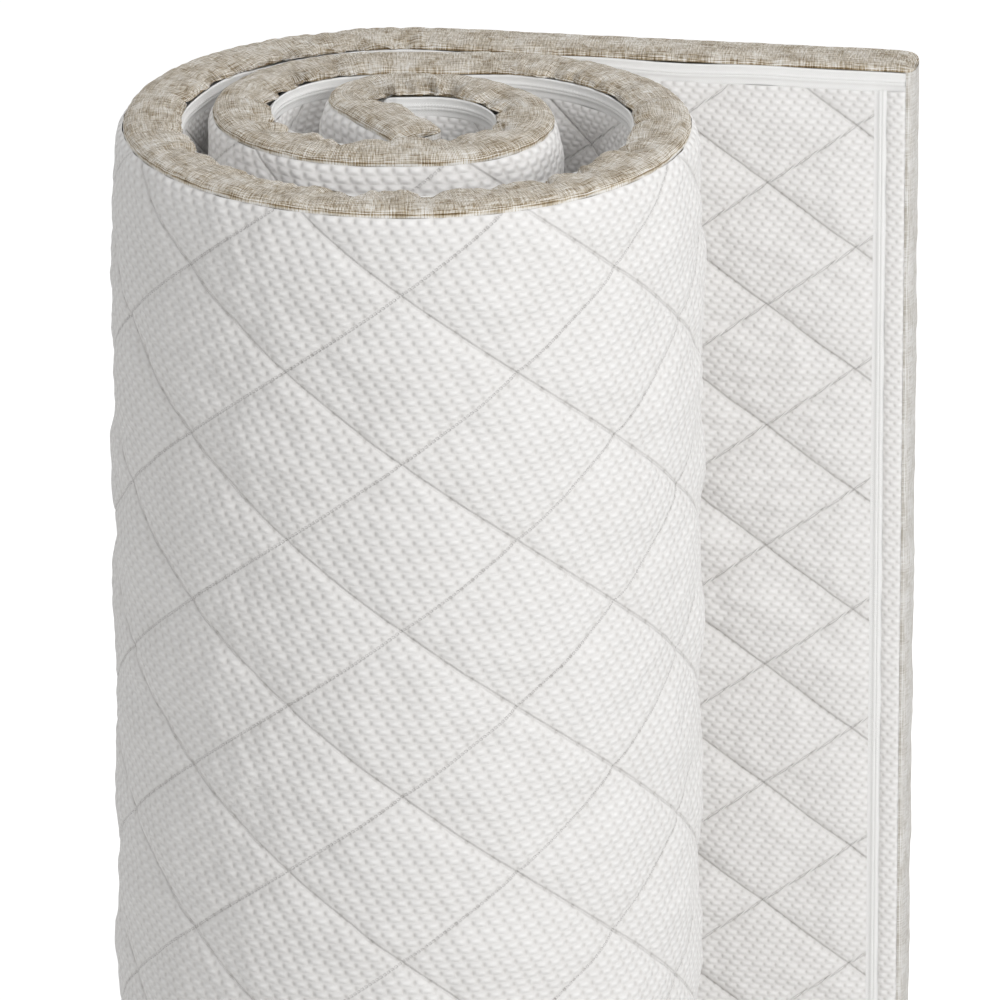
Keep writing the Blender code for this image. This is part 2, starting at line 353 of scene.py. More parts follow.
@dataclass(frozen=True)
class Finish:
    """A material, with its name and the numbers that are the same all over it."""

    name: str
    roughness: float = 0.85
    sheen: float = 0.0

    def paint(self, tree: bpy.types.NodeTree) -> tuple[bpy.types.NodeSocket, bpy.types.NodeSocket]:
        """Adds the nodes of the colour and of the surface's relief.

        Args:
            tree: the material's nodes.

        Returns:
            The colour, and the relief in millimetres.
        """
        raise NotImplementedError

    def make(self) -> bpy.types.Material:
        """The material, made once and shared by the pieces that have it."""
        found = bpy.data.materials.get(self.name)
        if found:
            return found
        made = bpy.data.materials.new(self.name)
        made.use_nodes = True
        tree = made.node_tree
        shader = tree.nodes["Principled BSDF"]
        colour, relief = self.paint(tree)
        tree.links.new(colour, shader.inputs["Base Color"])
        bump = add(tree, "Bump", {"Height": relief, "Strength": 1.0, "Distance": MM})
        tree.links.new(bump, shader.inputs["Normal"])
        shader.inputs["Roughness"].default_value = self.roughness
        shader.inputs["Sheen Weight"].default_value = self.sheen
        shader.inputs["Sheen Roughness"].default_value = 0.5
        return made


@dataclass(frozen=True)
class Quilt:
    """The diamonds that a panel is quilted in, in metres, and the knit's puffed dots."""

    wide: float
    tall: float
    crossing: tuple[float, float]  # a crossing's length along the route and its height
    dot_wide: float
    dot_tall: float
    puff: float  # how far a dot stands out, in millimetres
    slant: int = 1  # -1 where the tight lines climb as the length along the route grows

    def phases(self, u: np.ndarray, v: np.ndarray) -> tuple[np.ndarray, np.ndarray]:
        """Counts across the tight lines and across the stitched ones; a line is wherever a count is whole."""
        return u / self.wide + self.slant * v / self.tall, u / self.wide - self.slant * v / self.tall

    @property
    def spacing(self) -> float:
        """Distance between two neighbouring parallel lines."""
        return self.wide * self.tall / math.hypot(self.wide, self.tall)


@dataclass(frozen=True)
class JacquardKnit(Finish):
    """Double jacquard polyester knit, quilted to thin wadding.

    It is knitted with a filling yarn between its two faces, so that small puffed dots stand in rows, each
    row a third of a dot further on. The eye sees a soft, matt, warm white with a fine broken grain, sunk
    along the quilting lines.
    """

    quilt: Quilt | None = None

    def paint(self, tree: bpy.types.NodeTree) -> tuple[bpy.types.NodeSocket, bpy.types.NodeSocket]:
        """Dots, quilting lines and a little unevenness of the yarn, with light and shade painted into the colour. See
        Finish.paint.
        """
        quilt = self.quilt
        cut = add(tree, "UVMap", uv_map="cut")
        split = add(tree, "SeparateXYZ", [cut]).node
        u, v = split.outputs[0], split.outputs[1]
        row = add(tree, "Math", [v, quilt.dot_tall], operation="DIVIDE")
        shift = add(tree, "Math", [add(tree, "Math", [row], operation="FLOOR"), 3.0], operation="DIVIDE")
        column = add(tree, "Math", [u, 1 / quilt.dot_wide, shift], operation="MULTIPLY_ADD")
        waves = []
        for place, kind, sign in ((column, "SINE", 0.5), (row, "COSINE", -0.5)):
            angle = add(tree, "Math", [place, TAU], operation="MULTIPLY")
            wave = add(tree, "Math", [angle], operation=kind)
            waves.append(add(tree, "Math", [wave, sign, 0.5], operation="MULTIPLY_ADD"))
        dot = add(tree, "Math", waves, operation="MULTIPLY")
        dot = add(tree, "Math", [dot, 0.72], operation="POWER")
        # a small pit where two dots of a row meet
        apart = add(tree, "Math", [1.0, waves[0]], operation="SUBTRACT")
        apart = add(tree, "Math", [apart, 5.0], operation="POWER")
        pit = add(tree, "Math", [apart, waves[1]], operation="MULTIPLY")

        lines = []
        for sign in (quilt.slant, -quilt.slant):
            across = add(tree, "Math", [v, sign / quilt.tall], operation="MULTIPLY")
            phase = add(tree, "Math", [u, 1 / quilt.wide, across], operation="MULTIPLY_ADD")
            off = add(tree, "Math", [phase, 0.5], operation="PINGPONG")
            lines.append(add(tree, "Math", [off, quilt.spacing / MM], operation="MULTIPLY"))
        # the falling lines are pulled tight and read as one sharp crease; the rising ones show their stitches
        crease = add(tree, "MapRange", [lines[0], 0.0, 1.6, 1.0, 0.0], interpolation_type="SMOOTHSTEP")
        along = add(tree, "Math", [u, v], operation="ADD")
        stitches = add(tree, "Math", [along, 240.0], operation="MULTIPLY")
        stitch = add(tree, "Math", [stitches, 0.5], operation="PINGPONG")
        dash = add(tree, "MapRange", [stitch, 0.12, 0.22, 0.0, 1.0])
        thread = add(tree, "MapRange", [lines[1], 0.2, 1.2, 1.0, 0.0], interpolation_type="SMOOTHSTEP")
        thread = add(tree, "Math", [thread, dash], operation="MULTIPLY")
        nearest = add(tree, "Math", lines, operation="MINIMUM")
        open_knit = add(tree, "MapRange", [nearest, 1.0, 5.0, 0.15, 1.0])
        dot = add(tree, "Math", [dot, open_knit], operation="MULTIPLY")

        yarn = add(tree, "TexNoise", {"Vector": cut, "Scale": 900.0, "Detail": 3.0})
        blotch = add(tree, "TexNoise", {"Vector": cut, "Scale": 28.0, "Detail": 2.0})
        relief = add(tree, "Math", [dot, quilt.puff], operation="MULTIPLY")
        for part, height in ((pit, -0.5 * quilt.puff), (crease, -0.8), (thread, -0.7), (yarn, 0.14)):
            relief = add(tree, "Math", [part, height, relief], operation="MULTIPLY_ADD")
        # painted light and shade: the colour is lighter on the dots' tops and darker between them, in the pits, along
        # the creases and along the stitches, where the relief sinks; only the blotches are the knit's own uneven tone
        tone = add(tree, "Math", [dot, 0.34, 0.50], operation="MULTIPLY_ADD")
        for part, weight in ((pit, -0.22), (blotch, 0.22), (crease, -0.16), (thread, -0.13)):
            tone = add(tree, "Math", [part, weight, tone], operation="MULTIPLY_ADD")
        colour = ramp(add(tree, "ValToRGB", [tone]), [(0.0, "#B7B3AD"), (0.55, "#E8E6E4"), (1.0, "#F8F7F6")])
        return colour, relief


@dataclass(frozen=True)
class MelangeWeave(Finish):
    """Plain-woven polyester with linen-look slub yarns, taupe and off-white.

    The yarn is spun from two colours of fibre and left uneven, so that the weave shows short dark and
    pale streaks both ways over a fine cross-hatch. The threads are drawn 1.2 mm apart, about twice the
    real spacing, because finer ones don't show.
    """

    dark: str = "#5A4526"
    middle: str = "#BCA884"
    light: str = "#FAF8F4"
    thread: float = 1.2

    def paint(self, tree: bpy.types.NodeTree) -> tuple[bpy.types.NodeSocket, bpy.types.NodeSocket]:
        """Slubs along both yarns, and the weave's over and under. See Finish.paint."""
        cut = add(tree, "UVMap", uv_map="cut")
        millimetres = add(tree, "VectorMath", [cut, (1000.0, 1000.0, 0.0)], operation="MULTIPLY")
        yarns = []
        for stretch in ((1 / 16, 1 / 0.9, 1.0), (1 / 0.9, 1 / 11, 1.0)):
            place = add(tree, "VectorMath", [millimetres, stretch], operation="MULTIPLY")
            yarns.append(add(tree, "TexNoise", {"Vector": place, "Scale": 1.0, "Detail": 2.0, "Roughness": 0.6}))
        split = add(tree, "SeparateXYZ", [millimetres]).node
        u, v = split.outputs[0], split.outputs[1]
        hatch = []
        for way in ("ADD", "SUBTRACT"):
            place = add(tree, "Math", [u, v], operation=way)
            angle = add(tree, "Math", [place, TAU / self.thread / 1.4], operation="MULTIPLY")
            hatch.append(add(tree, "Math", [angle], operation="SINE"))
        weave = add(tree, "Math", hatch, operation="MULTIPLY")
        patch = add(tree, "TexNoise", {"Vector": cut, "Scale": 55.0, "Detail": 3.0})
        tone = add(tree, "Math", [yarns[0], 1.40, -1.10], operation="MULTIPLY_ADD")
        for part, weight in ((yarns[1], 1.20), (patch, 0.80), (weave, 0.40)):
            tone = add(tree, "Math", [part, weight, tone], operation="MULTIPLY_ADD")
        colour = ramp(add(tree, "ValToRGB", [tone]),
                      [(0.2, self.dark), (0.52, self.middle), (0.86, self.light)])
        relief = add(tree, "Math", [weave, 0.20], operation="MULTIPLY")
        relief = add(tree, "Math", [yarns[0], 0.35, relief], operation="MULTIPLY_ADD")
        return colour, relief


@dataclass(frozen=True)
class WovenTape(Finish):
    """Zip tape of white polyester filament, woven in a herringbone: flat, faintly ribbed and a little shiny."""

    def paint(self, tree: bpy.types.NodeTree) -> tuple[bpy.types.NodeSocket, bpy.types.NodeSocket]:
        """A fine rib along the tape. See Finish.paint."""
        cut = add(tree, "UVMap", uv_map="cut")
        split = add(tree, "SeparateXYZ", [cut]).node
        u, v = split.outputs[0], split.outputs[1]
        zigzag = add(tree, "Math", [v, 0.0025], operation="PINGPONG")
        place = add(tree, "Math", [u, zigzag], operation="ADD")
        angle = add(tree, "Math", [place, TAU / 0.0014], operation="MULTIPLY")
        rib = add(tree, "Math", [angle], operation="SINE")
        tone = add(tree, "Math", [rib, 0.15, 0.55], operation="MULTIPLY_ADD")
        soil = add(tree, "TexNoise", {"Vector": cut, "Scale": 60.0, "Detail": 2.0})
        tone = add(tree, "Math", [soil, 0.3, tone], operation="MULTIPLY_ADD")
        colour = ramp(add(tree, "ValToRGB", [tone]), [(0.0, "#EEEDEB"), (1.0, "#FBFBFA")])
        return colour, add(tree, "Math", [rib, 0.07], operation="MULTIPLY")


@dataclass(frozen=True)
class CutFoam(Finish):
    """Open-cell polyurethane foam, cut to shape with a blade, so that its cells lie open on every face."""

    def paint(self, tree: bpy.types.NodeTree) -> tuple[bpy.types.NodeSocket, bpy.types.NodeSocket]:
        """Open cells about 1.2 mm wide. See Finish.paint."""
        place = add(tree, "TexCoord").node.outputs["Object"]
        cells = add(tree, "TexVoronoi", {"Vector": place, "Scale": 830.0})
        # the colour darkens towards each cell's middle, where the relief is lowest: painted shade in the open cells'
        # hollows
        colour = ramp(add(tree, "ValToRGB", [cells]), [(0.0, "#C9B98A"), (0.6, "#F1E7C6")])
        return colour, add(tree, "Math", [cells, 0.5], operation="MULTIPLY")


@dataclass(frozen=True)
class LacqueredZinc(Finish):
    """Die-cast zinc, tumbled and lacquered pale grey: smooth, with a faint pebble."""

    def paint(self, tree: bpy.types.NodeTree) -> tuple[bpy.types.NodeSocket, bpy.types.NodeSocket]:
        """The lacquer's unevenness. See Finish.paint."""
        place = add(tree, "TexCoord").node.outputs["Object"]
        pebble = add(tree, "TexNoise", {"Vector": place, "Scale": 1400.0, "Detail": 2.0})
        colour = ramp(add(tree, "ValToRGB", [pebble]), [(0.3, "#B9B9B8"), (0.6, "#DEDEDD")])
        return colour, add(tree, "Math", [pebble, 0.03], operation="MULTIPLY")


# ---------------------------------------------------------------- laying a fabric along the pad


@dataclass
class Hinge:
    """The stretch of pad that bends where the loose end swings, and how pieces are split over it."""

    route: Route
    reach: float = 0.050  # each way from the joint
    bodies: tuple[str, str] = ("loose_end", "roll")

    @property
    def span(self) -> tuple[float, float]:
        """Lengths along the route at which the bending stretch starts and ends."""
        middle = self.route.pad.loose_end
        return middle - self.reach, middle + self.reach

    def blend(self, piece: bpy.types.Object) -> None:
        """Bakes a piece in the bending stretch into place, hung on neither body."""
        inset = 0.004
        start, end = (self.route.place(np.array(s), 0.0, self.route.pad.width / 2)
                      for s in (self.span[0] + inset, self.span[1] - inset))
        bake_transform(piece)


def grid_mesh(name: str, points: np.ndarray, cut: np.ndarray, finish: Finish | None,
              normals: np.ndarray | None = None, flip: bool = False) -> bpy.types.Object:
    """Makes an object of a grid of points.

    Args:
        name: the object's name.
        points: a rows by columns by 3 array.
        cut: each point's place on the flat fabric, rows by columns by 2, in metres.
        finish: its material, if it is to have one.
        normals: each point's shading direction, where the piece is cut from a larger one.
        flip: turns the faces round.

    Returns:
        The object, in the scene.
    """
    rows, columns = points.shape[:2]
    i = np.arange((rows - 1) * (columns - 1))
    corner = i // (columns - 1) * columns + i % (columns - 1)
    faces = np.stack([corner, corner + 1, corner + columns + 1, corner + columns], 1)
    if flip:
        faces = faces[:, ::-1]
    mesh = bpy.data.meshes.new(name)
    mesh.vertices.add(rows * columns)
    mesh.vertices.foreach_set("co", points.astype(np.float32).ravel())
    mesh.loops.add(faces.size)
    mesh.loops.foreach_set("vertex_index", faces.astype(np.int32).ravel())
    mesh.polygons.add(len(faces))
    mesh.polygons.foreach_set("loop_start", np.arange(0, faces.size, 4, dtype=np.int32))
    mesh.update(calc_edges=True)
    mesh.polygons.foreach_set("use_smooth", np.ones(len(faces), bool))
    layer = mesh.uv_layers.new(name="cut")
    layer.uv.foreach_set("vector", cut.reshape(-1, 2)[faces.ravel()].astype(np.float32).ravel())
    if normals is not None:
        mesh.normals_split_custom_set_from_vertices(normals.reshape(-1, 3).astype(np.float32))
    if finish:
        mesh.materials.append(finish.make())
    made = bpy.data.objects.new(name, mesh)
    bpy.context.scene.collection.objects.link(made)
    return made


def flat_size(piece: bpy.types.Object) -> tuple[float, float]:
    """How large a strip was cut.

    Args:
        piece: the strip, with its places on the flat fabric in metres.

    Returns:
        Its width and length on the flat fabric.
    """
    places = np.empty(len(piece.data.loops) * 2, np.float32)
    piece.data.uv_layers.active.data.foreach_get("uv", places)
    wide, tall = np.ptp(places.reshape(-1, 2), axis=0)
    return float(min(wide, tall)), float(max(wide, tall))


def grid_normals(points: np.ndarray, flip: bool = False) -> np.ndarray:
    """The direction that each point of a grid looks in."""
    found = np.cross(np.gradient(points, axis=0), np.gradient(points, axis=1))
    found /= np.linalg.norm(found, axis=2, keepdims=True).clip(1e-12, None)
    return found if flip else -found


@dataclass
class Layer:
    """A fabric that runs the pad's whole length, in pieces that follow the bodies."""

    name: str
    finish: Finish
    slot: str
    flip: bool = False

    def lay(self, hinge: Hinge, s: np.ndarray, points: np.ndarray, cut: np.ndarray,
            breaks: tuple[float, ...] = ()) -> list[bpy.types.Object]:
        """Cuts a grid into its pieces and hangs them on the frame.

        Args:
            hinge: where the loose end swings.
            s: the length along the route of each row of the grid.
            points: the grid.
            cut: each point's place on the flat fabric.
            breaks: lengths at which the piece on the roll is divided.

        Returns:
            The pieces, from the loose end inwards.
        """
        normals = grid_normals(points, self.flip)
        low, high = hinge.span
        marks = [s[0] - 1, low, high, *breaks, s[-1] + 1]
        names = ["loose", "bend", "roll", *(f"roll_{k}" for k in range(2, 2 + len(breaks)))]
        made = []
        for name, start, end in zip(names, marks, marks[1:]):
            rows = np.flatnonzero((s >= start - 1e-9) & (s <= end + 1e-9))
            if len(rows) < 2:
                continue
            rows = slice(rows[0], rows[-1] + 1)
            piece = grid_mesh(f"{self.name}_{name}", points[rows], cut[rows], self.finish,
                              normals[rows], self.flip)
            if name == "bend":
                hinge.blend(piece)
            else:
                word, body = (End.LOOSE if name == "loose" else End.ROLLED).value
                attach(piece, body)
                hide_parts(f"{word}_{self.name}")
            made.append(piece)
        LOG.info("%s: %d pieces", self.name, len(made))
        return made


def stations(hinge: Hinge, start: float, end: float, fine: float, coarse: float = math.inf,
             fine_until: float = math.inf, breaks: tuple[float, ...] = ()) -> np.ndarray:
    """Lengths along the route for a grid's rows, with one on each of the hinge's edges and on each break.

    Args:
        hinge: where the loose end swings.
        start: the first length.
        end: the last length.
        fine: the step as far as fine_until.
        coarse: the step after it.
        fine_until: where the steps change.
        breaks: further lengths that a row has to lie on.

    Returns:
        The lengths in order.
    """
    marks = sorted({start, end, *(m for m in (*hinge.span, *breaks, fine_until) if start < m < end)})
    runs = [np.linspace(a, b, max(2, round((b - a) / (fine if b <= fine_until else coarse)) + 1))[:-1]
            for a, b in zip(marks, marks[1:])]
    return np.concatenate([*runs, [end]])


# ---------------------------------------------------------------- the quilted panels


class Wadding:
    """The heights of nine quilted diamonds, each sewn down along its sides and puckered in its own way."""

    CELLS = 3
    STEPS = 32  # of the grid along a diamond's side
    SIDE = 0.096

    def __init__(self) -> None:
        """Fills the diamonds out. They are laid square here, because only their heights are kept."""
        count = self.CELLS * self.STEPS + 1
        place = np.arange(count) / self.STEPS
        sewn = np.arange(count) % self.STEPS == 0
        held = sewn[:, None] | sewn[None]
        rise = np.abs(np.sin(math.pi * place))
        height = (rise[:, None] * rise[None]) ** 0.5 * 0.004
        height = height + ~held * ripple(place[:, None] * self.SIDE, place[None] * self.SIDE, 71, (0.03, 0.03)) * 0.001
        grid = np.stack([*np.meshgrid(place * self.SIDE, place * self.SIDE, indexing="ij"), height], -1)
        found = settle(grid, held, 0.05, 1.5, 0.010)[..., 2].clip(0, None)
        self.heights = found / np.percentile(found, 97)
        LOG.info("wadding: highest point %.1f mm before scaling", found.max() / MM)

    def height(self, p: np.ndarray, q: np.ndarray) -> np.ndarray:
        """The filled height, from 0 on a line to about 1.

        Args:
            p: counts across the tight lines.
            q: counts across the stitched lines.

        Returns:
            A height for each.
        """
        i, j = np.floor(p).astype(int), np.floor(q).astype(int)
        x = ((i + 2 * j) % self.CELLS + p - i) * self.STEPS
        y = ((2 * i * i + j) % self.CELLS + q - j) * self.STEPS
        a, b = (np.floor(w).astype(int).clip(0, self.CELLS * self.STEPS - 1) for w in (x, y))
        x, y, h = x - a, y - b, self.heights
        return ((h[a, b] * (1 - x) + h[a + 1, b] * x) * (1 - y) + (h[a, b + 1] * (1 - x) + h[a + 1, b + 1] * x) * y)


@dataclass
class QuiltedPanel:
    """One quilted face of the cover: knit and wadding, sunk along the quilting lines and full between them."""

    hinge: Hinge
    side: Side
    quilt: Quilt
    start: float  # lengths along the route
    end: float
    low: float  # heights of its seams
    high: float
    wadding: Wadding
    fullness: float = 0.0052  # how far it stands proud of its seams where nothing holds it back
    pillow: float = 0.0026  # height of the wadding between the lines
    crumple: float = 0.0
    tuck: float = 0.0014
    fall_depth: float = 0.0024  # how far the two families of lines are sunk
    rise_depth: float = 0.0014
    step_z: float = 0.0030  # between the columns of its grid
    fine: float = 0.0030  # between its rows, as far as the first break, and coarse after it
    coarse: float = 0.0060
    breaks: tuple[float, ...] = ()

    def relief(self, s: np.ndarray, z: np.ndarray, cut: np.ndarray) -> np.ndarray:
        """How far each point stands out from the flat face.

        Args:
            s: lengths along the route, a column.
            z: heights, a row.
            cut: places on the flat fabric, measured from a crossing.

        Returns:
            The heights over the flat face, in metres.
        """
        quilt, u, v = self.quilt, cut[..., 0], cut[..., 1]
        phases = quilt.phases(u, v)
        fall, rise = (np.abs(p - np.round(p)) * quilt.spacing for p in phases)
        pillow = self.pillow * self.wadding.height(*phases)
        creases = self.fall_depth * np.exp(-fall / 0.0050) + self.rise_depth * np.exp(-rise / 0.0050)
        free = (self.hinge.route.room(s[:, 0], self.side) / 0.030).clip(0, 1)[:, None]
        free = free * free * (3 - 2 * free)
        seam = np.minimum(np.minimum(z - self.low, self.high - z), np.minimum(s - self.start, self.end - s))
        full = (self.fullness * free + 0.0006) * (1 - np.exp(-seam / 0.016))
        loose = ripple(u, v, 3 + self.side.value, (0.11, 0.05)) * 0.0010 + ripple(u, v, 9, (0.035, 0.016)) * 0.0003
        sag = np.exp(-((z - 0.60) / 0.15) ** 2) * np.exp(-((s - 0.12) / 0.10) ** 2)
        crumple = ripple(u, v, 61, (0.075, 0.016)) * self.crumple * sag
        pucker = ripple(u, v * 0, 5, (0.022, 1.0)) * 0.0007 * np.exp(-seam / 0.010)
        wadding = (pillow - creases) * (1 - np.exp(-seam / 0.008)) + (loose + crumple) * (1 - np.exp(-seam / 0.010))
        return full + (wadding + pucker) * (0.35 + 0.65 * free) - self.tuck * np.exp(-seam / 0.0022)

    def build(self) -> list[bpy.types.Object]:
        """Lays the panel along the pad."""
        route, pad = self.hinge.route, self.hinge.route.pad
        s = stations(self.hinge, self.start, self.end, self.fine, self.coarse, self.breaks[0], self.breaks)[:, None]
        z = np.linspace(self.low, self.high, round((self.high - self.low) / self.step_z) + 1)[None]
        face = self.side.value * pad.half
        along = route.face_length(s, face)
        at = float(route.face_length(np.array(self.quilt.crossing[0]), face))
        cut = np.stack(np.broadcast_arrays(along - at, z - self.quilt.crossing[1]), -1)
        out = self.relief(s, z, cut)
        points = route.place(s, face + self.side.value * out, z)
        word = self.side.name.lower()
        finish = JacquardKnit(f"jacquard_knit_{word}", roughness=0.9, sheen=0.15, quilt=self.quilt)
        layer = Layer(f"{word}_panel", finish, "quilted_panel", flip=self.side is Side.OUTER)
        made = layer.lay(self.hinge, s[:, 0], points, cut, self.breaks)
        return made


# ---------------------------------------------------------------- the border band


@dataclass
class Band:
    """A long border: one strip of fabric over the pad's edge, sewn to both panels and puckered in the bends."""

    hinge: Hinge
    tuck: float = 0.0016  # how far inside the pad's face its seams lie
    drop_end: float = 0.018  # length over which its crown comes down to the pad's corner
    power: float = 2.5  # squareness of its crown
    steps: int = 24
    step: float = 0.0022  # between the rows of its grid
    girth: float = 0.050  # width of the strip between its seams
    gather: float = 0.0115  # how far a full fold draws the strip in from the inner face
    dip: float = 0.0058  # and how far it sinks it

    def folds(self, s: np.ndarray) -> tuple[np.ndarray, np.ndarray]:
        """Where the strip is gathered in a bend.

        Args:
            s: lengths along the route.

        Returns:
            A depth from 0 to 1 at each length, 1 in the pinch of a fold, and how strongly it is gathered.
        """
        rng = np.random.default_rng(21)
        centres, place = [], 0.02
        while place < self.hinge.route.length:
            centres.append(place)
            place += rng.uniform(0.016, 0.048)
        centres = np.array(centres)
        widths = rng.uniform(0.0035, 0.0090, len(centres))
        depths = rng.uniform(0.15, 1.0, len(centres)) ** 1.2
        pinch = (depths * np.exp(-((s[..., None] - centres) / widths) ** 2)).max(-1)
        bend = (self.hinge.route.curve(s) * self.hinge.route.pad.half).clip(0, 0.32)
        return pinch, 0.16 + bend / 0.20

    def strip(self) -> tuple[np.ndarray, np.ndarray, np.ndarray]:
        """Shapes the strip over the top edge and lets it settle.

        Returns:
            The lengths along the route of its rows, its points, and their places on the flat strip.
        """
        route, pad = self.hinge.route, self.hinge.route.pad
        body = stations(self.hinge, pad.end_seam, route.length - pad.end_seam, self.step)
        cap = pad.end_seam * (1 - np.cos(np.linspace(0, math.pi / 2, 9)[:-1]))
        s = np.concatenate([cap, body, route.length - cap[::-1]])
        nose = np.minimum(s, route.length - s)
        narrow, lower = ((1 - (1 - (nose / reach).clip(0, 1)) ** self.power) ** (1 / self.power)
                         for reach in (pad.end_seam, self.drop_end))
        angle = np.linspace(-math.pi / 2, math.pi / 2, self.steps + 1)
        across = np.sign(angle) * np.abs(np.sin(angle)) ** (2 / self.power)
        rise = np.cos(angle).clip(0, None) ** (2 / self.power)
        t = across[None]
        slant = s[:, None] + 0.006 * t * np.sin(s[:, None] * 31.0)
        pinch, gathered = self.folds(slant)
        taken = ((t + 0.45) / 1.45).clip(0, 1) ** 1.4  # nothing at the outer seam, all of it at the inner
        inward = taken * (0.5 + 0.5 * ((1 - t) / 0.05).clip(0, 1))  # the inner seam itself gives way less
        calm = (0.35 + 0.65 * (gathered - 0.16) / 0.6).clip(0.35, 1.0)
        wave = ripple(slant, t * 0.03, 31, (0.05, 0.05)) * 0.0012 + ripple(slant, t * 0.02, 33, (0.014, 0.04)) * 0.0010
        wave = wave * calm * (0.3 + 0.7 * taken)
        seam = pad.outer_seam + (pad.inner_seam - pad.outer_seam) * (t + 1) / 2
        n = t * narrow[:, None] * (pad.half - self.tuck)
        n = n - pinch * gathered * inward * narrow[:, None] * self.gather
        height = rise[None] * (lower[:, None] * (seam - 0.0030) + wave)
        height = height - pinch * gathered * taken * rise[None] ** 0.4 * self.dip
        points = route.place(s[:, None], n, pad.width - seam + height)
        held = np.zeros(points.shape[:2], bool)
        held[:, [0, -1]] = True
        held[:12] = held[-12:] = True
        share = calm * (0.25 + 0.75 * taken)
        points = points + (settle(points, held, 0.07, 1.2, 0.006) - points) * share[..., None]
        cut = np.stack(np.broadcast_arrays(s[:, None], ((across + 1) / 2 * self.girth)[None]), -1)
        return s, points, cut

    def build(self) -> list[bpy.types.Object]:
        """Lays the strip on the top edge, and the same strip, pressed flat by the pad's weight, under the bottom."""
        s, points, cut = self.strip()
        width = self.hinge.route.pad.width
        under = points.copy()
        under[..., 2] = (width - points[..., 2]).clip(0.0, None)
        made = []
        for edge, grid in ((Edge.TOP, points), (Edge.BOTTOM, under)):
            layer = Layer(f"{edge.value}_border", MelangeWeave("melange_weave", roughness=0.88, sheen=0.2), "border",
                          flip=edge is Edge.BOTTOM)
            made += layer.lay(self.hinge, s, grid, cut)
        for piece in made:
            flat_size(piece)
        return made


def stand(end: End, name: str, finish: Finish, points: np.ndarray, cut: np.ndarray) -> bpy.types.Object:
    """Makes one upright strip at a short end of the pad.

    Args:
        end: the end that it stands at.
        name: its name, after the end's word.
        finish: its material.
        points: its grid.
        cut: each point's place on the flat fabric.

    Returns:
        The piece, riding on the end's body.
    """
    word, body = end.value
    flip = end is End.LOOSE
    piece = grid_mesh(f"{word}_{name}", points, cut, finish, grid_normals(points, flip), flip)
    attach(piece, body)
    LOG.info("%s: %d faces", piece.name, len(piece.data.polygons))
    return piece


@dataclass
class EndBand:
    """The upright border at a short end of the pad."""

    route: Route
    end: End
    power: float = 2.5
    tuck: float = 0.0016
    steps: int = 24
    rows: int = 290
    girth: float = 0.046

    def build(self) -> bpy.types.Object:
        """Stands the strip round the pad's end."""
        route, pad = self.route, self.route.pad
        angle = np.linspace(-math.pi / 2, math.pi / 2, self.steps + 1)[None]
        across = np.sign(angle) * np.abs(np.sin(angle)) ** (2 / self.power)
        out = np.cos(angle).clip(0, None) ** (2 / self.power)
        seam = pad.outer_seam + (pad.inner_seam - pad.outer_seam) * (across + 1) / 2
        share = np.linspace(0, 1, self.rows)[:, None]
        z = seam + share * (pad.width - 2 * seam)
        loose = ripple(z, angle * 0.01, 41, (0.06, 0.05)) * 0.0007 + ripple(z, angle * 0.01, 42, (0.018, 0.05)) * 0.0004
        loose = loose * np.sin(math.pi * share) ** 0.3
        depth = (pad.end_seam + loose * out) * out
        s = pad.end_seam - depth if self.end is End.LOOSE else route.length - pad.end_seam + depth
        points = route.place(s, across * (pad.half - self.tuck), z)
        cut = np.stack(np.broadcast_arrays(z, (across + 1) / 2 * self.girth), -1)
        pale = MelangeWeave("pale_melange_weave", 0.88, sheen=0.2, dark="#BEB7AC", middle="#E0DCD5", light="#F8F7F5")
        piece = stand(self.end, "end_border", pale, points, cut)
        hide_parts(f"{self.end.value[0]}_end_border")
        flat_size(piece)
        return piece


# ---------------------------------------------------------------- the zip


@dataclass
class ZipSizes:
    """The zip's tape and its coil, in metres."""

    width: float = 0.014
    coil: float = 0.0050
    coil_height: float = 0.0015
    face: float = 0.0008  # the tape lies this far under the pad's face
    pitch: float = 0.0030
    tooth: float = 0.00025  # how far each winding stands up and down
    step: float = 0.0012  # between the rows of its grid

    def profile(self) -> tuple[np.ndarray, np.ndarray]:
        """The tape's section, with the coil in its middle.

        Returns:
            Places across the tape, and how far each stands over it.
        """
        lap = np.array([0.0, 0.0008, 0.0016, 0.0026])
        coil = np.array([-1, -0.8, -0.35, -0.04, 0.04, 0.35, 0.8, 1]) * self.coil / 2 + self.width / 2
        edge = np.array([-0.0004, 0.0002, 0.0003, 0.0])
        ridge = np.array([0.0, 0.4, 0.7, 0.3, 0.3, 0.7, 0.4, 0.0]) * self.coil_height
        return np.concatenate([lap, coil, self.width - lap[::-1]]), np.concatenate([edge, ridge, edge[::-1]])


